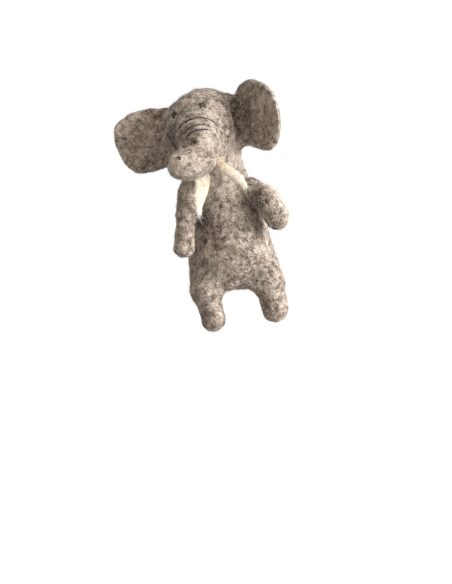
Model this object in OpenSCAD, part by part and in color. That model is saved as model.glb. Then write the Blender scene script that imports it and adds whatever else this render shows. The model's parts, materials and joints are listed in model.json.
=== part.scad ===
// Felted elephant finger puppet, in millimetres.
// The origin is the centre of the finger pocket's mouth, +Z runs up the finger and the belly faces -Y.
// Left and right are the elephant's own: its left side is at +X.

/* [Body] */
// Half width of the body at its hem
body_half_w = 18; // [16:0.5:20]
// Half depth of the body at its hem
body_half_d = 14; // [13:0.5:16]
// Height of the body from its hem to the neck
body_h = 44.5; // [43:0.5:46]

/* [Finger pocket] */
// Radius of the finger pocket
pocket_r = 8.6; // [8:0.1:8.8]
// Straight depth of the pocket, below its domed end
pocket_len = 29; // [24:1:30]

/* [Head] */
// Radius of the head
head_r = 15.5; // [15:0.1:15.8]
// Height of the head's centre above the hem
head_z = 62.3; // [62:0.1:63]
// How far the head's centre lies to the right of the body's axis
head_shift = 2.5; // [0:0.5:3]
// How far the head looks to its right, in degrees
head_turn = 20; // [0:1:24]
// How far the head tips towards its right, in degrees
head_roll = 6; // [0:1:8]
// Height of the nodding point in the neck
neck_z = 49; // [48.5:0.1:49.5]
// Radius of the neck
neck_r = 8.5; // [8:0.1:8.6]

/* [Ears] */
// Thickness of the ears
ear_t = 4.0; // [3:0.2:4.4]
// How far the right ear sweeps back, in degrees
right_ear_back = -10; // [-20:1:20]
// How far the left ear sweeps forward, in degrees
left_ear_forward = 12; // [-20:1:25]

/* [Arms and legs] */
// Radius of the right hand
right_hand_r = 4.0; // [3.4:0.1:4.2]
// Radius of the left hand
left_hand_r = 4.8; // [4:0.1:5]
// Radius of the legs
leg_r = 5.4; // [4.8:0.1:5.4]
// Length of the legs below the hem
leg_len = 15.5; // [12:0.5:18]

/* [Tusks] */
// Width of the tusks across their widest part
tusk_w = 4.6; // [3.6:0.2:5]
// Thickness of the tusks
tusk_t = 2.2; // [1.6:0.2:2.6]

/* [Stitches] */
// Radius of the thread
thread_r = 0.45; // [0.3:0.05:0.6]
// Radius of each eye's knot
eye_r = 1.3; // [0.9:0.1:1.6]

/* [Hidden] */
$fn = 64;
HULL_FN = 32;
GAP = 0.3;       // clearance where one felt part turns in another
FELT = [0.52, 0.46, 0.42];
CREAM = [0.93, 0.86, 0.74];
THREAD = [0.12, 0.11, 0.13];

head_c = [-head_shift, 0, head_z];

// Body sections: height, then the share of the hem's half width and half depth
body_sections = [[0, 0.96, 0.95], [1.5, 1, 1], [12, 0.94, 0.94], [24, 0.83, 0.86],
                 [36, 0.70, 0.75], [body_h - 2.5, 0.61, 0.66], [body_h, 0.50, 0.57]];

// Shoulder, elbow and hand of each arm
shoulder_r = 4.6;
right_arm_path = [[-11.8, -7, 38.5], [-14.8, -11.2, 31], [-16.8, -12, 18]];
left_arm_path = [[12, -7, 36.5], [16.2, -11, 31.2], [19.4, -12, 23.8]];

// Hip of the left leg; the right one mirrors it
hip = [12.6, -9.2, 0.5];
hip_r = leg_r + 0.2;

// Points below are in the head's own frame: +X its left, -Y the way it looks, +Z its crown
ear_root_x = 15.8;
ear_root_r = 2.2;
ear_root_h = 16;
jaw = [3, -6.8, -11.2];
jaw_r = 5.2;
trunk_root = [1.8, -14, -3.2];
trunk_root_r = 8.8;
// Centre and radius along the trunk, from the face to its tip
trunk_path = [[trunk_root, 6.8], [[4.2, -19.8, -8.6], 6.4], [[3.4, -22.6, -12.6], 6.0],
              [[0.6, -25.8, -14.6], 5.6], [[-2.4, -28.8, -14.4], 5.4]];
// Root and tip of each tusk
right_tusk_ends = [[0.8, -11.8, -14], [-2.6, -22, -33.3]];
left_tusk_ends = [[6.6, -10.2, -13.6], [16.8, -16.8, -28.2]];
tusk_root_r = 2.2;
// The eyes lie this far to each side of a middle that is itself turned to the left
eye_azimuth = 24;
eye_middle = 4.5;
eye_elevation = 24;
// Each wrinkle: the share of the way along the trunk's first stretch, and the ring's radius
wrinkles = [[0.28, 8.4], [0.66, 6.9], [0.92, 6.5]];
wrinkle_span = 130;
// The nostrils lie on the trunk's end, this far to each side of a middle that is turned to the right
nostril_azimuth = 40;
nostril_middle = -13;
nostril_elevation = 19;
nostril_r = 0.8;

// A point on a sphere, from its azimuth off -Y towards +X and its elevation
function on_ball(r, azimuth, elevation) =
    [r * sin(azimuth) * cos(elevation), -r * cos(azimuth) * cos(elevation), r * sin(elevation)];

module on_head() {
    translate(head_c) rotate([0, 0, -head_turn]) rotate([0, -head_roll, 0]) children();
}

// Turns +Z to point along v
module along(v) {
    rotate([0, acos(v.z / norm(v)), atan2(v.y, v.x)]) children();
}

module ball(p, r) {
    translate(p) sphere(r = r);
}

// A soft limb through the points of a path, with a radius for each
module limb(path, radii) {
    for (i = [0 : len(path) - 2])
        hull() {
            translate(path[i]) sphere(r = radii[i], $fn = HULL_FN);
            translate(path[i + 1]) sphere(r = radii[i + 1], $fn = HULL_FN);
        }
}

module torso() {
    color(FELT) difference() {
        hull()
            for (s = body_sections)
                translate([0, 0, min(s[0], body_h - 0.01)])
                    scale([body_half_w * s[1], body_half_d * s[2], 1])
                        cylinder(r = 1, h = 0.01, $fn = 48);
        translate([0, 0, -1]) cylinder(r = pocket_r, h = pocket_len + 1);
        ball([0, 0, pocket_len], pocket_r);
        ball(left_arm_path[0], shoulder_r + GAP);
        ball(right_arm_path[0], shoulder_r + GAP);
        for (side = [1, -1])
            ball([side * hip.x, hip.y, hip.z], hip_r + GAP);
    }
}

// The short stretch of felt between body and head: it turns on the body and the head nods on it
module neck() {
    neck_bottom = body_h + GAP;
    color(FELT) intersection() {
        ball([0, 0, neck_z], neck_r);
        translate([-neck_r, -neck_r, neck_bottom]) cube([2 * neck_r, 2 * neck_r, 2 * neck_r]);
    }
}

module head() {
    color(FELT) difference() {
        on_head() {
            sphere(r = head_r);
            ball(jaw, jaw_r);
        }
        ball([0, 0, neck_z], neck_r + GAP);
        on_head() {
            ball(trunk_root, trunk_root_r + GAP);
            ball(left_tusk_ends[0], tusk_root_r + GAP);
            ball(right_tusk_ends[0], tusk_root_r + GAP);
            for (side = [1, -1])
                translate([side * ear_root_x, 0, -ear_root_h / 2 - 1])
                    cylinder(r = ear_root_r + GAP, h = ear_root_h + 2);
        }
    }
}

module trunk() {
    color(FELT) on_head() {
        ball(trunk_root, trunk_root_r);
        limb([for (p = trunk_path) p[0]], [for (p = trunk_path) p[1]]);
    }
}

// A flat ear that reaches out along +X from its root, a post about Z.
// Its upper and lower lobes are given as [out, up, radius].
module ear(upper, lower) {
    rim = 1.2;
    translate([0, 0, -ear_root_h / 2]) cylinder(r = ear_root_r, h = ear_root_h);
    hull() {
        for (lobe = [upper, lower])
            translate([lobe[0], 0, lobe[1]]) rotate([90, 0, 0]) {
                cylinder(r = lobe[2] - rim, h = ear_t, center = true, $fn = HULL_FN);
                cylinder(r = lobe[2], h = ear_t - 2 * rim, center = true, $fn = HULL_FN);
            }
        translate([0, 0, -ear_root_h / 2])
            cylinder(r = ear_root_r - 0.4, h = ear_root_h, $fn = HULL_FN);
    }
}

module left_ear() {
    color(FELT) on_head() translate([ear_root_x, 0, 0]) rotate([0, 0, -left_ear_forward])
        ear([10.2, 5.6, 8], [9.8, -7, 7.2]);
}

module right_ear() {
    color(FELT) on_head() translate([-ear_root_x, 0, 0]) rotate([0, 0, 180 - right_ear_back])
        ear([10.8, 5.6, 8.4], [11.6, -3.2, 7.6]);
}

module left_arm() {
    color(FELT) {
        ball(left_arm_path[0], shoulder_r);
        limb(left_arm_path, [4.0, 4.3, left_hand_r]);
    }
}

module right_arm() {
    color(FELT) {
        ball(right_arm_path[0], shoulder_r);
        limb(right_arm_path, [3.5, 3.6, right_hand_r]);
    }
}

module leg() {
    ankle = [hip.x, hip.y, leg_r - leg_len];
    color(FELT) {
        ball(hip, hip_r);
        translate(ankle) cylinder(r = leg_r, h = hip.z - ankle.z);
        ball(ankle, leg_r);
    }
}

module left_leg() leg();
module right_leg() mirror([1, 0, 0]) leg();

// A flattened leaf of felt from its root to its pointed tip, broadest before its middle
module tusk(ends) {
    way = ends[1] - ends[0];
    color(CREAM) on_head() {
        ball(ends[0], tusk_root_r);
        hull() {
            translate(ends[0]) sphere(r = tusk_t * 0.75, $fn = HULL_FN);
            translate(ends[0] + 0.4 * way) along(way)
                scale([tusk_t, tusk_w, tusk_w] / 2) sphere(r = 1, $fn = HULL_FN);
            translate(ends[1]) sphere(r = 0.6, $fn = HULL_FN);
        }
    }
}

module left_tusk() tusk(left_tusk_ends);
module right_tusk() tusk(right_tusk_ends);

// An eye is one knot of thread, sunk halfway into the felt
module eye(side) {
    color(THREAD) on_head()
        ball(on_ball(head_r, eye_middle + side * eye_azimuth, eye_elevation), eye_r);
}

module left_eye() eye(1);
module right_eye() eye(-1);

// A nostril is a small stitch on the trunk's end
module nostril(side) {
    tip = trunk_path[len(trunk_path) - 1];
    color(THREAD) on_head() translate(tip[0])
        ball(on_ball(tip[1], nostril_middle + side * nostril_azimuth, nostril_elevation), nostril_r);
}

module left_nostril() nostril(1);
module right_nostril() nostril(-1);

// A wrinkle is a bow of thread laid over the top of the trunk
module wrinkle(i) {
    way = trunk_path[1][0] - trunk_path[0][0];
    color(THREAD) on_head() translate(trunk_root + wrinkles[i][0] * way) along(way)
        rotate([0, 0, 180 - wrinkle_span / 2])
            rotate_extrude(angle = wrinkle_span)
                translate([wrinkles[i][1], 0]) circle(r = thread_r, $fn = 24);
}

module upper_wrinkle() wrinkle(0);
module middle_wrinkle() wrinkle(1);
module lower_wrinkle() wrinkle(2);

torso();
neck();
head();
trunk();
left_ear();
right_ear();
left_arm();
right_arm();
left_leg();
right_leg();
left_tusk();
right_tusk();
left_eye();
right_eye();
left_nostril();
right_nostril();
upper_wrinkle();
middle_wrinkle();
lower_wrinkle();
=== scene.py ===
"""Looks of a felted elephant finger puppet, built around its CAD frame.

The felt is one smooth body, worked out as a signed distance in millimetres and cut into one piece per CAD
part. Loose wool is laid over every piece as real fibres, and the eyes, nostrils and wrinkles are sewn in
thread. Left and right are the elephant's own: its left side is at +X.
"""

import json
import math
from functools import cache

import bpy
import numpy as np
import openvdb
from mathutils import Matrix, Vector


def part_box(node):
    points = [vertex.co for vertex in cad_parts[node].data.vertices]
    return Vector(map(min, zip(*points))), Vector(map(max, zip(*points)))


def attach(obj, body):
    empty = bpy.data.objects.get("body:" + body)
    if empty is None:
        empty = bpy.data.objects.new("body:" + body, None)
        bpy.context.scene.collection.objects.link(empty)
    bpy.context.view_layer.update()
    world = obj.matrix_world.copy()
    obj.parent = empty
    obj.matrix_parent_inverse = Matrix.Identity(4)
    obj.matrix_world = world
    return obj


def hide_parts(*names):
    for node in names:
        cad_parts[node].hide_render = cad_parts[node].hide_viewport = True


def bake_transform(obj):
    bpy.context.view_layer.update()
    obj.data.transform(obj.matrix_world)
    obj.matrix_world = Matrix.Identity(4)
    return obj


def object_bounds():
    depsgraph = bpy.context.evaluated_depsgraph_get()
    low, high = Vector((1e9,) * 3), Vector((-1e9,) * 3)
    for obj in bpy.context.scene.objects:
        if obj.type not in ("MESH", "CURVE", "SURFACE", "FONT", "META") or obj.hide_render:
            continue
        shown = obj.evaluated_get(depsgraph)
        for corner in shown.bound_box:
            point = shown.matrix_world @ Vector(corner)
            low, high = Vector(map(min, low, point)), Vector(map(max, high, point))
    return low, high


MM = 0.001
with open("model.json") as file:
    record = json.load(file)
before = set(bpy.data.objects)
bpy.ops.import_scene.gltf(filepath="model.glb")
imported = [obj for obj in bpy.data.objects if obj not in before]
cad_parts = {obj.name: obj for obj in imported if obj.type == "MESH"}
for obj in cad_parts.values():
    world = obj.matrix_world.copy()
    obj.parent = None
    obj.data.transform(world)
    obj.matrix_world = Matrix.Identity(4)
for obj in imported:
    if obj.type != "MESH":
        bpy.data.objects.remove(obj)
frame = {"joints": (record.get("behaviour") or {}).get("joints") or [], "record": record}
cad_low, cad_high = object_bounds()
joints = {j["name"]: j for j in frame["joints"]}


# ---------------------------------------------------------------- places, from the CAD frame


def pivot(joint):
    """A joint's place, in millimetres."""
    return np.array(joints[joint]["pos_m"], float) / MM


def turning_axis(joint):
    a = np.array(joints[joint]["axis"], float)
    return a / np.linalg.norm(a)


@cache
def node_box(node):
    low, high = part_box(node)
    return np.array(low) / MM, np.array(high) / MM


head_low, head_high = node_box("head")
HEAD_R = (head_high[0] - head_low[0]) / 2
HEAD_C = np.array([(head_low[0] + head_high[0]) / 2, head_high[1] - HEAD_R, head_high[2] - HEAD_R])
# The head's own axes: to its left, up its crown, and to its back
HEAD_LEFT = -turning_axis("trunk_lift")
HEAD_UP = turning_axis("right_ear_flap")
HEAD_BACK = np.cross(HEAD_UP, HEAD_LEFT)
HEAD_AXES = np.array([HEAD_LEFT, HEAD_BACK, HEAD_UP])

BODY_W, BODY_D, BODY_H = node_box("torso")[1]
pocket = next(m for m in frame["record"]["mounts"] if m["name"] == "finger_pocket")
POCKET_R = pocket["dims"]["r_mm"]
POCKET_LEN = pocket["dims"]["length_mm"]
FLOOR_Z = cad_low.z / MM


def on_head(x, y, z):
    """A point given in the head's own frame, as a point of the row frame."""
    return HEAD_C + np.array([x, y, z], float) @ HEAD_AXES


def split(points):
    """Points as the three coordinate arrays that the shapes below take."""
    return points[..., 0], points[..., 1], points[..., 2]


# ---------------------------------------------------------------- driving values, in millimetres

# Half width and half depth of the body at each height, as shares of the CAD body's at the hem
BODY_SECTIONS = [(-4, 0.95, 0.96), (1.5, 0.98, 0.99), (9, 0.94, 0.95), (15, 0.90, 0.92),
                 (24, 0.82, 0.87), (36, 0.70, 0.77), (42, 0.63, 0.68), (46, 0.58, 0.62)]
BODY_SHIFT = 0.4    # how far the hem lies to the left of the body's top
BELLY_SWELL = 0.8
TOP_ROUNDING = 6
HEM_ROUNDING = 3.4
HEM_Z = -0.2
HEM_DROP = 1.2      # how much lower the hem hangs at the left leg
HEM_DROP_WIDTH = 7  # how far across the drop takes
POCKET_ROUNDING = 1.6
NECK = [((0.5, 0.4, 41), 9.7), ((0.5, 0.4, 54), 9.8)]
NECK_FLATNESS = 1.08  # its width over its depth
NECK_IN_HEAD = 6      # how much of the CAD neck's height is left to the head
NECK_HALF = 4.5       # half the height of the neck's own slice of felt
NECK_ROUNDING = 1.5
RIGHT_SHOULDER = ((-9.4, -4.4, 42.2), 4.6)
SHOULDER_FILLET = 5
JAW = ((3, -7.4, -10.8), 5.8)
JAW_FILLET = 5
# Centre and radius along the trunk in the head's frame, from the face to the tip
TRUNK = [((1.8, -13.4, -2.8), 8.5), ((3.9, -18.6, -8.2), 6.6), ((2.9, -22.2, -12.9), 6.2),
         ((0.7, -25.8, -15.0), 5.3), ((-1.9, -28.8, -14.8), 4.95)]
# Steps from the shoulder, and the radius, along each arm
RIGHT_ARM = [((0, 0, 0), 4.2), ((-2.1, -4.2, -7.8), 3.5), ((-4.9, -5, -20.2), 4.1)]
LEFT_ARM = [((0, 0, 0), 4.0), ((4.2, -4, -5.4), 4.9), ((7.2, -5, -12.9), 4.7)]
# Steps from the hip along each leg
LEFT_LEG = [((-0.7, 0.9, 0.8), 5.8), ((0.2, 0, -10.3), 5.1)]
RIGHT_LEG = [((0.9, 1.0, 0.5), 5.2), ((2.0, 0, -10.6), 4.7)]
# Outline of each ear, as steps (out, up) from its root, anticlockwise seen with out to the right
LEFT_EAR = [(-5, -10.5), (-0.3, -12), (4.3, -15.3), (8, -15.9), (12.3, -14.2), (16.6, -10), (19, -4.8),
            (18.7, 1.8), (15.6, 6.6), (11.2, 10.4), (6.6, 12.2), (2.4, 11.6), (-0.5, 9), (-5, 8)]
RIGHT_EAR = [(-5, -9), (2.8, -9.8), (8.6, -9.9), (14.2, -8.6), (17.4, -4.6), (19.1, 1.6), (19, 7),
             (17, 11.2), (11.5, 14), (7, 14.6), (3, 14.2), (-0.5, 13), (-5, 10)]
EAR_REACH = 21  # how far out an ear's curl is full
# How far each ear's rim curls forward, and how far it is dished beside the head
EAR_BEND = {"left_ear": (6.2, 3.2), "right_ear": (2.1, 0.8)}
EAR_T = 4.2  # thickness at the root
RIM_T = 3.2
# Grooves pressed into the felt: two ends in the head's frame, and the radius
GROOVES = [((16.6, -2.6, -9), (16.6, -2.6, 9), 3.1), ((1.2, -27.2, -8.2), (4.0, -26.4, -8.4), 1.1)]
GROOVE_ROUNDING = 1.5
# Places where the felt is pressed in: where, how far they reach, and how deep
DENTS = [((-9, -1, 75.4), 5.5, 1.6)]
# Tip of each tusk in the head's frame, its width, and how far it bows sideways
TUSKS = {"right_tusk": ((-2.6, -22, -33.3), 5.4, 0.5), "left_tusk": ((16.8, -16.8, -28.2), 4.4, -0.7)}
TUSK_T = 1.9
TUSK_CUP = 0.5   # how far its middle stands out of its flat side
TUSK_STEP = 0.22
TUSK_ROOM = 4.0
TUSK_ROOT = 3.6      # how far it goes on into the face
TUSK_ROUNDING = 0.8
TUSK_BENDS_OVER = 3.5
TUSK_LUMPS = [(1.3, 0.14, 21), (0.6, 0.08, 22)]  # size, height and seed of its unevenness
TUSK_RAGGED = (0.16, 2.0, 24)  # how uneven its edge is, and the size and seed of that
# Half width at each share of a tusk's length, as a share of its width, and half thickness likewise
TUSK_WIDTHS = ([-0.2, 0, 0.3, 0.5, 0.7, 0.9, 1.05], [0.32, 0.36, 0.47, 0.5, 0.4, 0.22, 0.12])
TUSK_THICKNESSES = ([-0.1, 0.3, 0.8, 1.05], [0.62, 0.5, 0.36, 0.18])
# The way each tusk's flat side faces, and how far its visible leaf lies from the CAD solid, as in the photo
TUSK_FACES = {"right_tusk": (0.45, -1, 0), "left_tusk": (0.4, -1, 0.2)}
TUSK_SHIFTS = {"right_tusk": (0, 0, 0), "left_tusk": (-1.0, 0, -0.7)}
# Fibres that run on past a tusk's tip: how many, the points along one, where it starts, its length and radius
FRAY = 44
FRAY_POINTS = 9
FRAY_START = (0.6, 5)
FRAY_LENGTH = (1.8, 4.2)
FRAY_R = (0.04, 0.07)
FRAY_SPREAD = 0.16
FRAY_CURL = 0.28

LUMPS = [(7.0, 0.42), (2.6, 0.16)]  # size and height of the felt's unevenness
WOOL_ROOM = 0.22  # how far the felt lies below the loose wool's outline
FAR = 8           # parts this far from a piece don't change it
SINK = 0.8        # how deep a piece dips under its neighbour
SINK_OVER = 2.2   # and over what distance
# How far a piece goes on under its neighbour
TUCK = {"torso": 1.2, "left_arm": 1.2, "right_arm": 1.2}
USUAL_TUCK = 3.0

# The share of the way along the trunk's first stretch, and where the arc starts and ends in degrees
WRINKLES = {"upper_wrinkle": (0.22, -54, 86), "middle_wrinkle": (0.78, -50, 48),
            "lower_wrinkle": (1.16, -44, 36)}
# Depth and width of the fold under a wrinkle, and place, height and width of the swelling below it
WRINKLE_FOLD = (0.55, 0.55)
WRINKLE_SWELL = (1.3, 0.35, 0.8)
WRINKLE_FADE = 12      # degrees over which both fade, each side of a wrinkle's end
WRINKLES_WITHIN = 11   # how far from the trunk's middle line they start to fade, and over what distance
WRINKLES_FADE_OUT = 3
THREAD_R = 0.34
THREAD_LIFT = 0.42
THREAD_PITCH = 1.5      # the length of one turn of its plies
PLY_R, PLY_OUT = 0.6, 0.48  # a ply's radius and its distance from the middle, over the thread's radius
WRINKLE_SPACING = 0.2
WRINKLE_START_R = 8.0   # about the trunk's radius, before a wrinkle is laid on the felt
WRINKLE_ENDS = 5        # the points over which a wrinkle's end goes into the felt
# Knots of stitches: their spread, how many, and the length and height of one
EYE_KNOT = (1.3, 6, 2.7, 0.42)
EYE_R = 0.3
CROSSING_TILTS = (1.6, -1.2)  # the slants of the last stitches of an eye, which cross the others
NOSTRIL_KNOT = (0.8, 3, 2.0, 0.35)
NOSTRIL_R = 0.28

# Loose wool: fibres for each square millimetre, their shortest and longest, their thinnest and thickest
# radius, and the points along one
SHORT_WOOL = (2.4, (1.8, 4.2), (0.028, 0.062), 7)
LONG_WOOL = (0.21, (5.0, 11.0), (0.048, 0.082), 15)
TUSK_WOOL = (5.0, (1.4, 3.6), (0.028, 0.055), 7)
LOOSE_SHARE = 0.28        # fibres that lift off at one end
LOOSE_LIFT = (0.35, 1.5)  # and how high
LOOSE_THINNESS = 0.55      # a loose fibre's radius over another's
LYING_LIFT = (0.03, 0.2)   # how high the middle of a lying fibre comes
LOOSE_ROOT, LYING_ROOT = -0.08, -0.1  # how deep their ends go in
COMBED = 0.6               # how much of the random direction stays where the wool is combed
FIRST_BEND, BEND_KEPT, BEND_STEP = 0.32, 0.7, 0.3
BARE_BELOW = -0.12         # felt this far inside the body gets no loose wool
FIBRES_PER_PIECE = 7000

# The wool's shade: its mean, then the size, height and seed of each layer of heather
MEAN_SHADE = 0.56
HEATHER = [(6.0, 0.13, 11), (1.7, 0.30, 12), (0.8, 0.28, 13)]
# How far a fibre's tone strays from the shade, how much paler a loose one is, and where the tones divide
TONE_STRAY = 0.24
LOOSE_PALER = 0.08
TONE_EDGES = [0.27, 0.42, 0.60, 0.80]
# The share of long fibres that are pale, and of those that are a tone paler still
PALE_SHARE, PALER_SHARE = 0.75, 0.3
# The share of cream fibres at a tusk's root, how much it grows, and over what height
CREAM_SHARE, CREAM_MORE, CREAM_OVER = 0.25, 0.55, 11

# Light: the way the key comes from, and the fill from right to left, front to back and below to above
KEY_FROM = (0.9, -0.36, 0.05)
KEY_POWER = 6.4
KEY_SPREAD = 40
LIGHT_COLOUR = (1.0, 0.975, 0.94)
BACK_FROM = (-0.3, 0.9, 0.45)
BACK_POWER = 2.0
BACK_SPREAD = 60
FILL_COLOUR = (1.0, 0.915, 0.82)
FILL_SIDES = (0.37, 0.64)
FILL_DEPTHS = (0.18, -0.08)
FILL_HEIGHTS = (-0.04, 0.10)
BACKDROP = 1.05
FLOOR_GLOW = 0.88
# The camera's lens and sensor in millimetres, its distance in metres, its roll in degrees, and its aim
CAMERA_LENS = 82.0
CAMERA_SENSOR = 36.0
CAMERA_DISTANCE = 0.507
CAMERA_ROLL = 9.8
CAMERA_AIM = (-4.25, 0, -0.62)


# ---------------------------------------------------------------- signed distances


def smooth(t):
    t = np.clip(t, 0, 1)
    return t * t * (3 - 2 * t)


def join(a, b, k):
    """The union of two distances, filleted over k."""
    h = np.clip(0.5 + 0.5 * (b - a) / k, 0, 1)
    return b * (1 - h) + a * h - k * h * (1 - h)


def cut(a, b, k):
    """The intersection of two distances, rounded over k."""
    return -join(-a, -b, k)


def ball(p, centre, r):
    return np.sqrt(sum((p[i] - centre[i]) ** 2 for i in range(3))) - r


def limb(p, a, b, ra, rb):
    """A rounded cone between two points."""
    a, b = np.array(a, float), np.array(b, float)
    way = b - a
    t = np.clip(sum((p[i] - a[i]) * way[i] for i in range(3)) / (way @ way), 0, 1)
    return np.sqrt(sum((p[i] - a[i] - t * way[i]) ** 2 for i in range(3))) - (ra + (rb - ra) * t)


def chain(p, path, k=2.0):
    """Rounded cones along [(point, radius), ...]."""
    d = None
    for (a, ra), (b, rb) in zip(path, path[1:]):
        part = limb(p, a, b, ra, rb)
        d = part if d is None else join(d, part, k)
    return d


def oval(u, v, a, b):
    """About the distance to an oval of half axes a and b, by its first-order term."""
    q = np.sqrt((u / a) ** 2 + (v / b) ** 2) + 1e-6
    return (q - 1) * q / np.sqrt((u / a**2) ** 2 + (v / b**2) ** 2 + 1e-9)


def noise(p, size, seed):
    """Smooth noise from -1 to 1 with features about size across."""
    n = 32
    lattice = np.random.default_rng(seed).uniform(-1, 1, (n, n, n)).astype(np.float32)
    low, blend = [], []
    for axis in range(3):
        u = p[axis] / size + 7.3 * (axis + 1)
        i = np.floor(u).astype(int)
        low.append(i)
        blend.append(smooth(u - i).astype(np.float32))
    total = 0
    for corner in np.ndindex(2, 2, 2):
        w = 1
        for axis in range(3):
            w = w * (blend[axis] if corner[axis] else 1 - blend[axis])
        at = tuple((low[axis] + corner[axis]) % n for axis in range(3))
        total = total + w * lattice[at]
    return total


def in_frame(p, origin, axes):
    """Coordinates of p along three axes from an origin."""
    step = [p[i] - origin[i] for i in range(3)]
    return tuple(sum(step[i] * axis[i] for i in range(3)) for axis in axes)


section_z = np.linspace(-4, 46, 101)
kernel = np.hanning(13) / np.hanning(13).sum()
heights, wide, deep = zip(*BODY_SECTIONS)
HALF_W = np.convolve(np.pad(np.interp(section_z, heights, wide), 6, mode="edge"), kernel, "valid") * BODY_W
HALF_D = np.convolve(np.pad(np.interp(section_z, heights, deep), 6, mode="edge"), kernel, "valid") * BODY_D


def finger_pocket(p):
    x, y, z = p
    return np.sqrt(x * x + y * y + np.maximum(z - POCKET_LEN, 0) ** 2) - POCKET_R


def torso(p):
    x, y, z = p
    belly = y + BELLY_SWELL * np.sin(np.clip(z / BODY_H, 0, 1) * math.pi)
    across = x - BODY_SHIFT * (1 - np.clip(z / BODY_H, 0, 1))
    side = oval(across, belly, np.interp(z, section_z, HALF_W), np.interp(z, section_z, HALF_D))
    hem = HEM_Z - HEM_DROP * smooth(x / HEM_DROP_WIDTH)
    d = cut(cut(side, z - BODY_H, TOP_ROUNDING), hem - z, HEM_ROUNDING)
    return join(d, ball(p, *RIGHT_SHOULDER), SHOULDER_FILLET)


def neck(p):
    (a, ra), (b, rb) = NECK
    x, y, z = p
    middle = (BODY_H + node_box("neck")[1][2] - NECK_IN_HEAD) / 2
    stem = limb((x, y * NECK_FLATNESS, z), a, b, ra, rb)
    return cut(stem, np.abs(z - middle) - NECK_HALF, NECK_ROUNDING)


def head(p):
    d = ball(p, HEAD_C, HEAD_R)
    return join(d, ball(p, on_head(*JAW[0]), JAW[1]), JAW_FILLET)


trunk_line = [(on_head(*point), r) for point, r in TRUNK]


def trunk(p):
    return chain(p, trunk_line, 3)


def hung_from(joint, steps):
    """An arm or a leg, from its joint."""
    root = pivot(joint)
    line = [(root + np.array(step), r) for step, r in steps]
    return lambda p: chain(p, line)


def closed_curve(points, per_span=5):
    """A smooth closed line through points, by Catmull-Rom spans."""
    p = np.array(points, float)
    before, after, beyond = np.roll(p, 1, 0), np.roll(p, -1, 0), np.roll(p, -2, 0)
    t = (np.arange(per_span) / per_span)[None, :, None]
    a, b, c, d = (q[:, None, :] for q in (before, p, after, beyond))
    line = 0.5 * (2 * b + (c - a) * t + (2 * a - 5 * b + 4 * c - d) * t**2 + (3 * b - a - 3 * c + d) * t**3)
    return line.reshape(-1, 2)


def inside_outline(u, v, line):
    """Signed distance in a plane to a closed line."""
    nearest = np.full(np.broadcast(u, v).shape, 1e9, np.float32)
    sign = np.ones_like(nearest)
    for a, b in zip(line, np.roll(line, -1, 0)):
        ex, ey = b - a
        wx, wy = u - a[0], v - a[1]
        t = np.clip((wx * ex + wy * ey) / (ex * ex + ey * ey), 0, 1)
        nearest = np.minimum(nearest, (wx - ex * t) ** 2 + (wy - ey * t) ** 2)
        above, below = v >= a[1], v < b[1]
        left = ex * wy > ey * wx
        flips = (above & below & left) | (~above & ~below & ~left)
        sign = np.where(flips, -sign, sign)
    return sign * np.sqrt(nearest)


def ear_frame(side):
    """An ear's root and its axes: out, up, and to the front."""
    low, high = node_box(side)
    root = pivot(side + "_flap")
    middle = (low + high) / 2 - root
    out = middle - (middle @ HEAD_UP) * HEAD_UP
    out /= np.linalg.norm(out)
    front = np.cross(out, HEAD_UP)
    if front @ HEAD_BACK > 0:
        front = -front
    return root, (out, HEAD_UP, front)


def ear(side, outline):
    root, axes = ear_frame(side)
    line = closed_curve(outline)

    def shape(p):
        out, up, front = in_frame(p, root, axes)
        reach = np.clip(out / EAR_REACH, 0, 1)
        curl, dish = EAR_BEND[side]
        front = front - curl * reach**2 + dish * np.sin(math.pi * np.sqrt(reach))
        half = (EAR_T + (RIM_T - EAR_T) * smooth(reach)) / 2
        flat = inside_outline(out, up, line)
        r = half * 0.95
        a, b = flat + r, np.abs(front) - half + r
        return np.sqrt(np.maximum(a, 0) ** 2 + np.maximum(b, 0) ** 2) + np.minimum(np.maximum(a, b), 0) - r

    return shape


def fused_at(place, near, far, k, apart=0.25):
    """A fillet of k round a place, fading to a plain crease between near and far from it."""
    return lambda p: apart + (k - apart) * (1 - smooth((ball(p, place, 0) - near) / (far - near)))


# Each felt part: its shape, and how softly it joins what comes before it
PARTS = {
    "torso": (torso, None),
    "neck": (neck, lambda p: 5),
    "head": (head, lambda p: 4),
    "left_ear": (ear("left_ear", LEFT_EAR), lambda p: 1.6),
    "right_ear": (ear("right_ear", RIGHT_EAR), lambda p: 2.6),
    "trunk": (trunk, fused_at(trunk_line[0][0], 9, 13, 3)),
    "left_arm": (hung_from("left_arm_swing", LEFT_ARM), fused_at(pivot("left_arm_swing"), 3.5, 8, 2.5)),
    "right_arm": (hung_from("right_arm_swing", RIGHT_ARM), fused_at(pivot("right_arm_swing"), 5, 9, 3)),
    "left_leg": (hung_from("left_leg_swing", LEFT_LEG), fused_at(pivot("left_leg_swing"), 6, 11, 5.5)),
    "right_leg": (hung_from("right_leg_swing", RIGHT_LEG), fused_at(pivot("right_leg_swing"), 6, 11, 5.5)),
}

trunk_way = trunk_line[1][0] - trunk_line[0][0]
TRUNK_DOWN = trunk_way / np.linalg.norm(trunk_way)
TRUNK_TOP = HEAD_UP - (HEAD_UP @ TRUNK_DOWN) * TRUNK_DOWN
TRUNK_TOP /= np.linalg.norm(TRUNK_TOP)
TRUNK_SIDE = np.cross(TRUNK_TOP, TRUNK_DOWN)
if TRUNK_SIDE @ HEAD_LEFT < 0:
    TRUNK_SIDE = -TRUNK_SIDE


def wrinkle_centre(name):
    return trunk_line[0][0] + WRINKLES[name][0] * trunk_way


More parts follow.
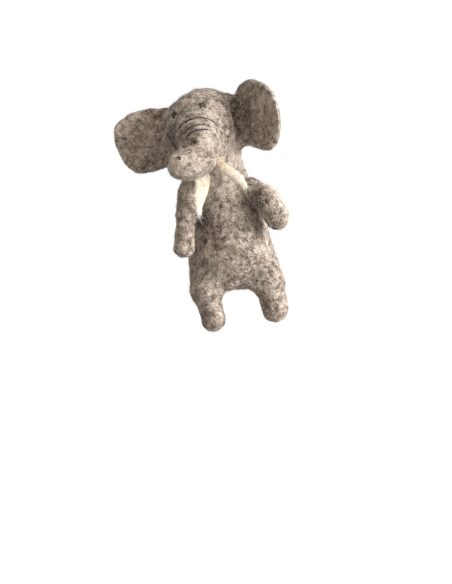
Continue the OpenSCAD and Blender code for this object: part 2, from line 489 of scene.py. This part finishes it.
def wrinkle_folds(p):
    """How deep the felt is drawn in along the wrinkles, and how far it swells between them."""
    along, top, side = in_frame(p, trunk_line[0][0], (TRUNK_DOWN, TRUNK_TOP, TRUNK_SIDE))
    angle = np.degrees(np.arctan2(side, top))
    length = np.linalg.norm(trunk_way)
    by_trunk = 1 - smooth((np.hypot(side, top) - WRINKLES_WITHIN) / WRINKLES_FADE_OUT)
    depth, width = WRINKLE_FOLD
    below, height, spread = WRINKLE_SWELL
    shift = 0
    for share, start, end in WRINKLES.values():
        past_end = np.abs(angle - (start + end) / 2) - (end - start) / 2
        fade = by_trunk * (1 - smooth((past_end + WRINKLE_FADE) / (2 * WRINKLE_FADE)))
        off = along - share * length
        shift = shift - fade * depth * np.exp(-((off / width) ** 2))
        shift = shift + fade * height * np.exp(-(((off - below) / spread) ** 2))
    return shift


def felt(p, near=None):
    """The whole felt body's distance at p, and each part's own. Parts far from the box near are left out."""
    own, whole = {}, None
    for name, (shape, fuse) in PARTS.items():
        if near is not None:
            low, high = node_box(name)
            if (low > near[1] + FAR).any() or (high < near[0] - FAR).any():
                continue
        own[name] = shape(p).astype(np.float32)
        whole = own[name] if whole is None else join(whole, own[name], fuse(p))
    for seed, (size, height) in enumerate(LUMPS):
        whole = whole - height * noise(p, size, seed)
    if "trunk" in own:
        whole = whole - wrinkle_folds(p)
    for start, end, r in GROOVES:
        whole = cut(whole, -limb(p, on_head(*start), on_head(*end), r, r), GROOVE_ROUNDING)
    for place, reach, depth in DENTS:
        whole = whole + depth * np.exp(-((ball(p, place, 0) / reach) ** 2))
    whole = whole + WOOL_ROOM
    return cut(whole, -finger_pocket(p), POCKET_ROUNDING).astype(np.float32), own


class Grid:
    """A box of samples of a distance, which can be read between its points."""

    def __init__(self, low, high, step):
        self.low = np.array(low, float)
        self.step = step
        self.size = np.ceil((np.array(high) - self.low) / step).astype(int) + 1

    def axes(self):
        for i in range(3):
            shape = [1, 1, 1]
            shape[i] = -1
            yield (self.low[i] + self.step * np.arange(self.size[i])).astype(np.float32).reshape(shape)

    def read(self, values, points):
        u = np.clip((points - self.low) / self.step, 0, self.size - 1.001)
        i = u.astype(int)
        f = u - i
        total = 0
        for corner in np.ndindex(2, 2, 2):
            w = np.prod([f[..., k] if corner[k] else 1 - f[..., k] for k in range(3)], axis=0)
            total = total + w * values[i[..., 0] + corner[0], i[..., 1] + corner[1], i[..., 2] + corner[2]]
        return total

    def slope(self, values, points):
        """The unit direction in which the distance grows."""
        h = self.step * 0.7
        g = np.stack([self.read(values, points + h * e) - self.read(values, points - h * e)
                      for e in np.eye(3)], axis=-1)
        return g / np.maximum(np.linalg.norm(g, axis=-1, keepdims=True), 1e-9)

    def surface(self, values):
        """The surface at distance 0, as points and quads that face outwards."""
        vdb = openvdb.FloatGrid(1.0)
        vdb.copyFromArray(np.ascontiguousarray(values, np.float32))
        points, quads = vdb.convertToQuads(0.0)
        points = self.low + np.array(points, float) * self.step
        quads = np.array(quads)
        a, b, c, d = (points[quads[:, i]] for i in range(4))
        outward = np.einsum("ij,ij->i", np.cross(c - a, d - b), (a + b + c + d) / 4).sum()
        return points, quads if outward > 0 else quads[:, ::-1]


# ---------------------------------------------------------------- meshes


def mesh_object(name, points, faces, materials, slots=None):
    """A mesh from points in millimetres and lists of triangles and quads, with its rest place kept in it."""
    mesh = bpy.data.meshes.new(name)
    mesh.vertices.add(len(points))
    mesh.vertices.foreach_set("co", (points * MM).astype(np.float32).ravel())
    corners = np.concatenate([f.ravel() for f in faces])
    sizes = np.concatenate([np.full(len(f), f.shape[1]) for f in faces])
    mesh.loops.add(len(corners))
    mesh.loops.foreach_set("vertex_index", corners.astype(np.int32))
    mesh.polygons.add(len(sizes))
    mesh.polygons.foreach_set("loop_start", (np.cumsum(sizes) - sizes).astype(np.int32))
    if slots is not None:
        mesh.polygons.foreach_set("material_index", slots.astype(np.int32))
    mesh.update(calc_edges=True)
    mesh.polygons.foreach_set("use_smooth", np.ones(len(sizes), bool))
    rest = mesh.attributes.new("rest", "FLOAT_VECTOR", "POINT")
    rest.data.foreach_set("vector", points.astype(np.float32).ravel())
    for m in materials:
        mesh.materials.append(m)
    obj = bpy.data.objects.new(name, mesh)
    bpy.context.scene.collection.objects.link(obj)
    return obj


def keep_shade(obj, shade):
    """Stores how pale the piece is drawn at each point: on the grey felt the wool's heather with painted
    light and shade, on a tusk its tan and cream.
    """
    layer = obj.data.attributes.new("shade", "FLOAT", "POINT")
    layer.data.foreach_set("value", shade.astype(np.float32))


def unit(v):
    return v / np.maximum(np.linalg.norm(v, axis=-1, keepdims=True), 1e-9)


def tubes(lines, radii, sides, up):
    """Closed tubes along many lines at once: lines is (tubes, points, 3), and each end comes to a point."""
    n, m, _ = lines.shape
    way = unit(np.gradient(lines, axis=1))
    across = unit(np.cross(way, up))
    over = np.cross(across, way)
    turn = 2 * math.pi * np.arange(sides) / sides
    ring = (np.cos(turn)[:, None] * across[:, 1:-1, None, :] + np.sin(turn)[:, None] * over[:, 1:-1, None, :])
    rings = lines[:, 1:-1, None, :] + ring * radii[:, 1:-1, None, None]
    each = 2 + (m - 2) * sides
    points = np.concatenate([lines[:, :1], rings.reshape(n, -1, 3), lines[:, -1:]], axis=1).reshape(-1, 3)
    side = np.arange(sides)
    after = (side + 1) % sides
    last = 1 + (m - 3) * sides
    tips = np.concatenate([
        np.stack([np.zeros(sides, int), 1 + after, 1 + side], axis=1),
        np.stack([np.full(sides, each - 1), last + side, last + after], axis=1)])
    start = 1 + np.arange(m - 3)[:, None] * sides
    walls = np.stack([start + side, start + after, start + sides + after, start + sides + side], axis=-1)
    first = (np.arange(n) * each)[:, None, None]
    return points, (tips[None] + first).reshape(-1, 3), (walls.reshape(1, -1, 4) + first).reshape(-1, 4)


# ---------------------------------------------------------------- materials


def new_material(name):
    m = bpy.data.materials.new(name)
    m.use_nodes = True
    return m, m.node_tree.nodes, m.node_tree.links, m.node_tree.nodes["Principled BSDF"]


def rest_place(nodes):
    node = nodes.new("ShaderNodeAttribute")
    node.attribute_name = "rest"
    return node.outputs["Vector"]


def noise_node(nodes, links, vector, per_mm, detail=3.0, distortion=0.0, rough=0.6):
    node = nodes.new("ShaderNodeTexNoise")
    node.inputs["Scale"].default_value = per_mm
    node.inputs["Detail"].default_value = detail
    node.inputs["Distortion"].default_value = distortion
    node.inputs["Roughness"].default_value = rough
    links.new(vector, node.inputs["Vector"])
    return node.outputs["Fac"]


def span(nodes, links, value, low, high, to_low, to_high):
    node = nodes.new("ShaderNodeMapRange")
    for socket, number in zip(("From Min", "From Max", "To Min", "To Max"), (low, high, to_low, to_high)):
        node.inputs[socket].default_value = number
    links.new(value, node.inputs["Value"])
    return node.outputs["Result"]


def maths(nodes, links, operation, a, b):
    node = nodes.new("ShaderNodeMath")
    node.operation = operation
    for socket, value in zip(node.inputs, (a, b)):
        if isinstance(value, (int, float)):
            socket.default_value = value
        else:
            links.new(value, socket)
    return node.outputs[0]


def ramp(nodes, links, value, stops):
    node = nodes.new("ShaderNodeValToRGB")
    while len(node.color_ramp.elements) < len(stops):
        node.color_ramp.elements.new(1)
    for element, (place, colour) in zip(node.color_ramp.elements, stops):
        element.position = place
        element.color = (*colour, 1)
    links.new(value, node.inputs["Fac"])
    return node.outputs["Color"]


def bump(nodes, links, shader, height, strength, distance):
    node = nodes.new("ShaderNodeBump")
    node.inputs["Strength"].default_value = strength
    node.inputs["Distance"].default_value = distance * MM
    links.new(height, node.inputs["Height"])
    links.new(node.outputs["Normal"], shader.inputs["Normal"])


def wool(name, stops, sheen=0.25):
    """Felted wool: a heather of fine grain and thin pale strands, paler or darker by the shade stored in the
    piece, which carries painted light and shade as well as the wool's tone.
    """
    m, nodes, links, shader = new_material(name)
    place = rest_place(nodes)
    grain = noise_node(nodes, links, place, 1.7, 4, 0.6, 0.65)
    strands = noise_node(nodes, links, place, 0.9, 2, 2.2, 0.5)
    line = maths(nodes, links, "ABSOLUTE", maths(nodes, links, "SUBTRACT", strands, 0.5), 0)
    strand = span(nodes, links, line, 0.0, 0.035, 0.22, 0.0)
    shade = nodes.new("ShaderNodeAttribute")
    shade.attribute_name = "shade"
    spread = span(nodes, links, grain, 0.3, 0.7, -0.6, 0.6)
    tone = maths(nodes, links, "ADD", maths(nodes, links, "ADD", spread, shade.outputs["Fac"]), strand)
    links.new(ramp(nodes, links, tone, stops), shader.inputs["Base Color"])
    links.new(span(nodes, links, grain, 0.3, 0.7, 1.0, 0.8), shader.inputs["Roughness"])
    bump(nodes, links, shader, maths(nodes, links, "ADD", grain, strand), 0.8, 0.25)
    shader.inputs["Sheen Weight"].default_value = sheen
    shader.inputs["Sheen Roughness"].default_value = 0.6
    shader.inputs["Specular IOR Level"].default_value = 0.15
    return m


def strand_material(name, colour, sheen=0.2):
    """Loose wool of one tone, its roughness uneven along it."""
    m, nodes, links, shader = new_material(name)
    grain = noise_node(nodes, links, rest_place(nodes), 3.0)
    shader.inputs["Base Color"].default_value = (*colour, 1)
    links.new(span(nodes, links, grain, 0.3, 0.7, 0.6, 0.9), shader.inputs["Roughness"])
    shader.inputs["Sheen Weight"].default_value = sheen
    shader.inputs["Specular IOR Level"].default_value = 0.2
    return m


GREY = wool("felt_wool", [(0.0, (0.045, 0.031, 0.025)), (0.28, (0.13, 0.095, 0.077)),
                          (0.52, (0.26, 0.207, 0.175)), (0.78, (0.44, 0.37, 0.315)),
                          (1.0, (0.65, 0.57, 0.50))])
CREAM = wool("tusk_wool", [(0.0, (0.50, 0.36, 0.23)), (0.35, (0.76, 0.64, 0.48)),
                           (0.65, (0.90, 0.84, 0.72)), (1.0, (0.96, 0.94, 0.88))], 0.3)
STRANDS = [strand_material("strand_dark", (0.045, 0.032, 0.026)),
           strand_material("strand_brown", (0.14, 0.102, 0.083)),
           strand_material("strand_grey", (0.30, 0.243, 0.205)),
           strand_material("strand_pale", (0.53, 0.46, 0.40)),
           strand_material("strand_white", (0.82, 0.76, 0.69))]
CREAM_STRANDS = [strand_material("strand_tan", (0.72, 0.58, 0.42)),
                 strand_material("strand_cream", (0.95, 0.92, 0.85))]


def thread_material():
    """Dark sewing thread, with the twist of its plies from the mesh and its hairiness from nodes."""
    m, nodes, links, shader = new_material("dark_thread")
    grain = noise_node(nodes, links, rest_place(nodes), 6.0, 4, 0.4)
    links.new(ramp(nodes, links, grain, [(0.3, (0.006, 0.006, 0.007)), (0.7, (0.026, 0.023, 0.024))]),
              shader.inputs["Base Color"])
    links.new(span(nodes, links, grain, 0.3, 0.7, 0.75, 0.5), shader.inputs["Roughness"])
    bump(nodes, links, shader, grain, 0.6, 0.05)
    shader.inputs["Sheen Weight"].default_value = 0.15
    return m


THREAD = thread_material()


# ---------------------------------------------------------------- the wool's tones, with painted light and shade

# Painted light and shade, with a few changes in the wool's own tone: paler (+) and darker (-) places, where,
# how far they reach, and by how much
PAINTED_LIGHT_AND_TONES = [
    # Painted light on the front of the trunk's tip, where it faces the light; painted shade in the small
    # groove where the trunk bends forward
    (trunk_line[-1][0] + [0, -4, 0], 7, 0.18), (on_head(3, -26, -8), 2.5, -0.3),
    # Painted shade on the head's right side beside the trunk, away from the key light; painted light low on
    # the left cheek and on the neck's left side, which face it
    (on_head(-8, -13, -7), 7, -0.42), (np.array([5.0, -14, 53]), 5, 0.10), (np.array([9.0, -4, 49]), 4, 0.4),
    # Painted light on the upper chest, which faces up into the light; painted shade between the right arm and
    # the body
    (np.array([3.0, -11, 36]), 7, 0.16), (np.array([-9.2, -12, 27]), 5, -0.46),
    # The belly's middle a little darker in tone; painted light low on the body's left side, which faces the
    # key light
    (np.array([0.0, -14, 20]), 9, -0.08), (np.array([14.0, -8, 11]), 6, 0.18),
    # Painted shade in the crease between the left arm and the body; painted highlight on the left arm's outer
    # edge
    (np.array([14.0, -14, 31]), 4, -0.38), (np.array([21.0, -11, 31]), 3.8, 0.6),
    # Painted highlight on the left ear's rim; painted light on the right ear, which the head shades from the
    # key light; the right ear's lower part darker
    (on_head(23.5, -8.5, -1), 8, 0.36), (on_head(-25, -2, 1), 10, 0.22), (on_head(-23, -2, -9), 6, -0.26),
    # Painted shade in the groove at the left ear's root
    (on_head(16.6, -2.5, 6), 4, -0.5), (on_head(16.6, -2.5, 0), 4, -0.5), (on_head(16.6, -2.5, -6), 4, -0.5),
    # Painted shade on the left ear's inner face beside that groove
    (on_head(18.6, -3.5, -1), 4, -0.3)]


def tone_and_painted_light_at(points):
    """How pale the felt is drawn: the wool's broad heather patches and finer ones, plus the painted light and
    shade and the few changes of tone listed above.
    """
    p = split(points)
    shade = MEAN_SHADE
    for size, height, seed in HEATHER:
        shade = shade + height * noise(p, size, seed)
    for place, reach, change in PAINTED_LIGHT_AND_TONES:
        shade = shade + change * np.exp(-((ball(p, place, 0) / reach) ** 2))
    return shade


# ---------------------------------------------------------------- where each piece sits, and where it would bend


def moves(obj, piece):
    """Puts the torso's obj on the body; any other piece's obj only has its place baked into its mesh, and its
    entry in BENDS is read but not used.
    """
    if piece == "torso":
        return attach(obj, "body")
    parent, child, start, end = BENDS[piece]
    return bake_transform(obj)


def step_from(point, direction, low, high):
    direction = np.array(direction, float)
    return np.array(point) + direction * low, np.array(point) + direction * high


left_ear_out, right_ear_out = ear_frame("left_ear")[1][0], ear_frame("right_ear")[1][0]
BENDS = {
    "neck": ("body", "neck", *step_from([0, 0, BODY_H], [0, 0, 1], -1.5, 3)),
    "head": ("neck", "head", *step_from(pivot("head_nod"), [0, -0.35, 0.94], -1, 4.5)),
    "trunk": ("head", "trunk", *step_from(trunk_line[0][0], -HEAD_BACK, 2, 11)),
    "left_ear": ("head", "left_ear", *step_from(pivot("left_ear_flap"), left_ear_out, -1.5, 4.5)),
    "right_ear": ("head", "right_ear", *step_from(pivot("right_ear_flap"), right_ear_out, -1.5, 4.5)),
    "left_arm": ("body", "left_arm", *step_from(pivot("left_arm_swing"), [0.6, -0.3, -0.75], 0.5, 7)),
    "right_arm": ("body", "right_arm", *step_from(pivot("right_arm_swing"), [-0.3, -0.3, -0.9], 0.5, 7)),
    "left_leg": ("body", "left_leg", *step_from(pivot("left_leg_swing"), [0, 0, -1], -2, 5)),
    "right_leg": ("body", "right_leg", *step_from(pivot("right_leg_swing"), [0, 0, -1], -2, 5)),
}


# ---------------------------------------------------------------- loose wool over a piece


def lay_fibres(name, grid, values, points, quads, wool_kind, rng, tones, choose, grain=None):
    """Fibres that lie on a surface, some lifting off it, in objects of at most FIBRES_PER_PIECE."""
    density, length, thickness, steps = wool_kind
    a, b, c, d = (points[quads[:, i]] for i in range(4))
    area = np.linalg.norm(np.cross(c - a, d - b), axis=1) / 2
    depth = grid.read(values, (a + b + c + d) / 4)
    area = np.where(depth > BARE_BELOW, area, 0)
    count = int(area.sum() * density)
    pick = rng.choice(len(area), count, p=area / area.sum())
    u, v = rng.random((2, count, 1))
    place = (a[pick] * (1 - u) + b[pick] * u) * (1 - v) + (d[pick] * (1 - u) + c[pick] * u) * v
    up = grid.slope(values, place)
    way = rng.normal(size=(count, 3))
    if grain is not None:
        way = way * COMBED + grain
    way = unit(way - (way * up).sum(1, keepdims=True) * up)
    reach = rng.uniform(*length, count)
    loose = rng.random(count) < LOOSE_SHARE
    lift = np.where(loose, rng.uniform(*LOOSE_LIFT, count), rng.uniform(*LYING_LIFT, count))
    bend = rng.normal(0, FIRST_BEND, count)
    line, ups = [], []
    for i in range(steps):
        t = i / (steps - 1)
        lying = LYING_ROOT + (lift - LYING_ROOT) * math.sin(math.pi * t) ** 0.6
        height = np.where(loose, LOOSE_ROOT + lift * t**1.6, lying)
        on = place + (height - grid.read(values, place))[:, None] * up
        line.append(on)
        ups.append(up)
        bend = bend * BEND_KEPT + rng.normal(0, BEND_STEP, count)
        turned = np.cross(up, way)
        way = unit(way * np.cos(bend)[:, None] + turned * np.sin(bend)[:, None])
        place = on + way * (reach / (steps - 1))[:, None]
        up = grid.slope(values, place)
        way = unit(way - (way * up).sum(1, keepdims=True) * up)
    lines, ups = np.stack(line, 1), np.stack(ups, 1)
    radius = rng.uniform(*thickness, count) * np.where(loose, LOOSE_THINNESS, 1)
    taper = np.sin(math.pi * np.linspace(0.12, 0.9, steps)) ** 0.5
    radii = radius[:, None] * taper
    tone = choose(lines[:, steps // 2], loose, rng)
    pieces = []
    for k, part in enumerate(np.array_split(np.arange(count), math.ceil(count / FIBRES_PER_PIECE))):
        verts, tips, walls = tubes(lines[part], radii[part], 3, ups[part])
        slots = np.concatenate([np.repeat(tone[part], 6), np.repeat(tone[part], 3 * (steps - 3))])
        pieces.append(mesh_object(f"{name}_wool_{k + 1}", verts, [tips, walls], tones, slots))
    return pieces


def heather_and_painted_light_tone(points, loose, rng):
    """Picks each grey fibre's tone from the felt's shade there, painted light and shade included."""
    tone = tone_and_painted_light_at(points) + rng.normal(0, TONE_STRAY, len(points)) + np.where(loose, LOOSE_PALER, 0)
    return np.digitize(tone, TONE_EDGES)


def pale_tones(points, loose, rng):
    """Long stray fibres are mostly the pale ones."""
    pale, paler = (rng.random(len(points)) < share for share in (PALE_SHARE, PALER_SHARE))
    return 2 + pale.astype(int) + paler.astype(int)


def cream_tones(points, loose, rng):
    """Tan near the face and cream below."""
    below = pivot("left_tusk_swing")[2] - points[:, 2]
    return (rng.random(len(points)) < CREAM_SHARE + CREAM_MORE * smooth(below / CREAM_OVER)).astype(int)


# ---------------------------------------------------------------- felt pieces

STEP = {"torso": 0.45, "head": 0.4, "neck": 0.4, "trunk": 0.3}
USUAL_STEP = 0.35
FILL = {"torso": 0.9}
ROOM = 6.0


def build_felt(name, rng):
    """One felt piece: the whole body's surface where this part is nearest, dipping under its neighbours."""
    low, high = node_box(name)
    grid = Grid(low - ROOM, high + ROOM, STEP.get(name, USUAL_STEP))
    p = tuple(grid.axes())
    whole, own = felt(p, (low, high))
    others = np.minimum.reduce([d for other, d in own.items() if other != name])
    claim = others - own[name]
    values = np.maximum(whole + SINK * smooth(-claim / SINK_OVER), -claim - TUCK.get(name, USUAL_TUCK))
    points, quads = grid.surface(values)
    obj = mesh_object(name + "_felt", points, [quads], [GREY])
    # The felt's shade: the wool's heather, with painted light and shade.
    keep_shade(obj, tone_and_painted_light_at(points))
    moves(obj, name)
    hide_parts(name)
    FILL.get(name, 1.0)
    # The short fibres' tones follow the same shade, so they carry the painted light and shade too.
    loose_wool = lay_fibres(name + "_short", grid, whole, points, quads, SHORT_WOOL, rng, STRANDS, heather_and_painted_light_tone)
    loose_wool += lay_fibres(name + "_long", grid, whole, points, quads, LONG_WOOL, rng, STRANDS, pale_tones)
    for fibres in loose_wool:
        moves(fibres, name)


def fray(name, end, down, flat, rng):
    """Fibres that run on past a tusk's tip."""
    t = np.linspace(0, 1, FRAY_POINTS)[None, :, None]
    start = end - down * rng.uniform(*FRAY_START, (FRAY, 1)) + flat * rng.normal(0, 0.4, (FRAY, 1))
    way = unit(down + FRAY_SPREAD * rng.normal(size=(FRAY, 3)))[:, None]
    curl = FRAY_CURL * rng.normal(size=(FRAY, 1, 3))
    reach = rng.uniform(*FRAY_LENGTH, (FRAY, 1, 1))
    lines = start[:, None] + (way * t + curl * t**2) * reach
    radii = rng.uniform(*FRAY_R, (FRAY, 1)) * np.linspace(1, 0.5, FRAY_POINTS)
    verts, tips, walls = tubes(lines, radii, 3, flat)
    tone = cream_tones(lines[:, 0], None, rng)
    slots = np.concatenate([np.repeat(tone, 6), np.repeat(tone, 3 * (FRAY_POINTS - 3))])
    return mesh_object(name + "_fray", verts, [tips, walls], CREAM_STRANDS, slots)


def build_tusk(name, rng):
    """A flat leaf of cream felt, ragged at its tip."""
    tip, width, bow = TUSKS[name]
    root = pivot(name + "_swing") + TUSK_SHIFTS[name]
    end = on_head(*tip) + TUSK_SHIFTS[name]
    length = np.linalg.norm(end - root)
    down = (end - root) / length
    face = np.array(TUSK_FACES[name])
    thick = unit(face - (face @ down) * down)
    flat = np.cross(thick, down)
    if flat @ HEAD_LEFT < 0:
        flat = -flat
    low, high = node_box(name)
    grid = Grid(low - TUSK_ROOM, high + TUSK_ROOM, TUSK_STEP)
    p = tuple(grid.axes())
    u, v, w = in_frame(p, root, (down, flat, thick))
    share = u / length
    half_w = np.interp(share, *TUSK_WIDTHS) * width
    ragged, size, seed = TUSK_RAGGED
    half_w = half_w * (1 + ragged * noise(p, size, seed))
    half_t = np.interp(share, *TUSK_THICKNESSES) * TUSK_T
    v = v - bow * np.sin(np.clip(share, 0, 1) * 2 * math.pi)
    w = w - TUSK_CUP * np.sin(np.clip(share, 0, 1) * math.pi)
    values = cut(oval(v, w, half_w, half_t), np.maximum(u - length, -u - TUSK_ROOT), TUSK_ROUNDING)
    for size, height, seed in TUSK_LUMPS:
        values = values - height * noise(p, size, seed)
    values = values.astype(np.float32)
    points, quads = grid.surface(values)
    obj = mesh_object(name + "_felt", points, [quads], [CREAM])
    along = ((points - root) @ down) / length
    keep_shade(obj, 0.1 + 0.58 * smooth(along * 1.5) + 0.2 * noise(split(points), 1.4, 23))
    start, stop = root * MM, (root + down * TUSK_BENDS_OVER) * MM
    fibres = lay_fibres(name, grid, values, points, quads, TUSK_WOOL, rng, CREAM_STRANDS, cream_tones, down)
    fibres.append(fray(name, end, down, flat, rng))
    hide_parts(name)
    for piece in [obj, *fibres]:
        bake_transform(piece)
        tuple(start)
        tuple(stop)


# ---------------------------------------------------------------- stitches


def settle(points, height, rounds=6):
    """Moves points onto the felt, at a height above it, and gives the way out of the felt there."""
    h = 0.15
    for _ in range(rounds):
        here = felt(split(points))[0]
        g = np.stack([felt(split(points + h * e))[0] - felt(split(points - h * e))[0] for e in np.eye(3)], -1)
        up = unit(g)
        points = points + (height - here)[:, None] * up
    return points, up


def along_line(points, spacing):
    """The same line with points spacing apart."""
    gone = np.concatenate([[0], np.cumsum(np.linalg.norm(np.diff(points, axis=0), axis=1))])
    at = np.linspace(0, gone[-1], max(6, int(gone[-1] / spacing)))
    return np.stack([np.interp(at, gone, points[:, k]) for k in range(3)], axis=1)


def sew(lines, r):
    """Two-ply twisted thread along each line, given as (points, ways out of the felt)."""
    points, tips, walls, first = [], [], [], 0
    for line, up in lines:
        gone = np.concatenate([[0], np.cumsum(np.linalg.norm(np.diff(line, axis=0), axis=1))])
        way = unit(np.gradient(line, axis=0))
        across = unit(np.cross(way, up))
        over = np.cross(across, way)
        for ply in (0, math.pi):
            turn = (2 * math.pi * gone / THREAD_PITCH + ply)[:, None]
            centre = line + (np.cos(turn) * across + np.sin(turn) * over) * r * PLY_OUT
            p, t, q = tubes(centre[None], np.full((1, len(line)), r * PLY_R), 6, over[None])
            points.append(p)
            tips.append(t + first)
            walls.append(q + first)
            first += len(p)
    return np.concatenate(points), np.concatenate(tips), np.concatenate(walls)


def build_stitches(node, lines, r, piece):
    points, tips, walls = sew(lines, r)
    obj = mesh_object(node + "_thread", points, [tips, walls], [THREAD])
    moves(obj, piece)
    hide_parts(node)


def wrinkle_line(name):
    share, start, end = WRINKLES[name]
    turn = np.radians(np.linspace(start, end, 41))[:, None]
    ring = TRUNK_TOP * np.cos(turn) + TRUNK_SIDE * np.sin(turn)
    points, _ = settle(wrinkle_centre(name) + ring * WRINKLE_START_R, THREAD_LIFT)
    points = along_line(points, WRINKLE_SPACING)
    points, up = settle(points, THREAD_LIFT, 1)
    from_start = np.arange(len(points))
    sink = smooth(1 - np.minimum(from_start, from_start[::-1]) / WRINKLE_ENDS)
    return points - up * sink[:, None], up


def stitch(a, b, height):
    """A short stitch from a to b over the felt, its ends going in."""
    t = np.linspace(0, 1, 14)[:, None]
    points, up = settle(a + (b - a) * t, 0.0)
    rise = height * np.sin(math.pi * t) ** 0.7 - 0.35 * (np.cos(math.pi * t) ** 6)
    return points + up * rise, up


def knot(centre, along, spread, count, length, height, rng, crossing=0):
    """A small heap of stitches about a centre, which lie one way but for the last few."""
    up = unit(centre - HEAD_C)
    along = unit(along - (along @ up) * up)
    across = np.cross(up, along)
    lines = []
    for i in range(count):
        side = (i / (count - crossing - 1) - 0.5) * spread if i < count - crossing else 0
        tilt = rng.normal(0, 0.12) if i < count - crossing else CROSSING_TILTS[count - 1 - i]
        middle = centre + across * side + along * rng.normal(0, 0.15)
        half = (along + across * tilt) * length / 2
        lines.append(stitch(middle - half, middle + half, height * rng.uniform(0.7, 1.2)))
    return lines


def node_centre(node):
    low, high = node_box(node)
    return (low + high) / 2


# ---------------------------------------------------------------- build

rng = np.random.default_rng(650)
for part in PARTS:
    build_felt(part, rng)
for tusk_name in TUSKS:
    build_tusk(tusk_name, rng)
for wrinkle_name in WRINKLES:
    build_stitches(wrinkle_name, [wrinkle_line(wrinkle_name)], THREAD_R, "trunk")
rng = np.random.default_rng(7)
for eye, slant in (("left_eye", (1, 0, 0.1)), ("right_eye", (1, 0, 0.5))):
    strands = knot(node_centre(eye), np.array(slant, float), *EYE_KNOT, rng, len(CROSSING_TILTS))
    build_stitches(eye, strands, EYE_R, "head")
for nostril in ("left_nostril", "right_nostril"):
    strands = knot(node_centre(nostril), HEAD_UP, *NOSTRIL_KNOT, rng)
    build_stitches(nostril, strands, NOSTRIL_R, "trunk")


# ---------------------------------------------------------------- floor, light and camera


def build_floor():
    """A white floor that glows a little, so that the shadow on it stays pale."""
    bpy.ops.mesh.primitive_circle_add(vertices=96, radius=4, fill_type="NGON", location=(0, 0, FLOOR_Z * MM))
    floor = bpy.context.active_object
    floor.name = "floor"
    m, nodes, links, shader = new_material("pale_floor")
    place = nodes.new("ShaderNodeTexCoord").outputs["Object"]
    grain = noise_node(nodes, links, place, 40)
    links.new(ramp(nodes, links, grain, [(0.3, (0.22, 0.22, 0.22)), (0.7, (0.25, 0.25, 0.25))]),
              shader.inputs["Base Color"])
    shader.inputs["Roughness"].default_value = 0.9
    shader.inputs["Specular IOR Level"].default_value = 0.1
    shader.inputs["Emission Color"].default_value = (1, 1, 1, 1)
    shader.inputs["Emission Strength"].default_value = FLOOR_GLOW
    floor.data.materials.append(m)
    floor.visible_diffuse = False
    floor.visible_shadow = False


def build_world():
    """A white backdrop, and soft light all round that is dimmer on the elephant's right."""
    world = bpy.data.worlds.new("studio")
    bpy.context.scene.world = world
    world.use_nodes = True
    nodes, links = world.node_tree.nodes, world.node_tree.links
    way = nodes.new("ShaderNodeTexCoord").outputs["Generated"]
    parts = nodes.new("ShaderNodeSeparateXYZ")
    links.new(way, parts.inputs[0])
    sideways = span(nodes, links, parts.outputs["X"], -1, 1, *FILL_SIDES)
    inwards = span(nodes, links, parts.outputs["Y"], -1, 1, *FILL_DEPTHS)
    upwards = span(nodes, links, parts.outputs["Z"], -1, 1, *FILL_HEIGHTS)
    level = maths(nodes, links, "ADD", maths(nodes, links, "ADD", sideways, inwards), upwards)
    fill = nodes["Background"]
    fill.inputs["Color"].default_value = (*FILL_COLOUR, 1)
    links.new(level, fill.inputs["Strength"])
    backdrop = nodes.new("ShaderNodeBackground")
    backdrop.inputs["Color"].default_value = (1, 1, 1, 1)
    backdrop.inputs["Strength"].default_value = BACKDROP
    choice = nodes.new("ShaderNodeMixShader")
    links.new(nodes.new("ShaderNodeLightPath").outputs["Is Camera Ray"], choice.inputs[0])
    links.new(fill.outputs[0], choice.inputs[1])
    links.new(backdrop.outputs[0], choice.inputs[2])
    links.new(choice.outputs[0], nodes["World Output"].inputs["Surface"])


def build_light(name, way, power, spread):
    """A broad soft light from one side."""
    lamp = bpy.data.lights.new(name, "SUN")
    lamp.energy = power
    lamp.angle = math.radians(spread)
    lamp.color = LIGHT_COLOUR
    obj = bpy.data.objects.new(name, lamp)
    obj.rotation_euler = Vector(way).to_track_quat("Z", "Y").to_euler()
    bpy.context.scene.collection.objects.link(obj)


def build_camera():
    """Nearly level and straight at the belly, rolled so that the puppet leans."""
    roll = math.radians(CAMERA_ROLL)
    aim = Vector(CAMERA_AIM) * MM
    cam = bpy.data.cameras.new("camera")
    cam.lens = CAMERA_LENS
    cam.sensor_width = CAMERA_SENSOR
    cam.clip_start, cam.clip_end = 0.01, 20
    obj = bpy.data.objects.new("camera", cam)
    right = Vector((math.cos(roll), 0, -math.sin(roll)))
    top = Vector((math.sin(roll), 0, math.cos(roll)))
    back = Vector((0, -1, 0))
    turned = Matrix((right, top, back)).transposed().to_4x4()
    obj.matrix_world = Matrix.Translation(aim + back * CAMERA_DISTANCE) @ turned
    bpy.context.scene.collection.objects.link(obj)
    bpy.context.scene.camera = obj


build_floor()
build_world()
build_light("key", KEY_FROM, KEY_POWER, KEY_SPREAD)
build_light("back", BACK_FROM, BACK_POWER, BACK_SPREAD)
build_camera()
bpy.context.scene.view_settings.view_transform = "Standard"
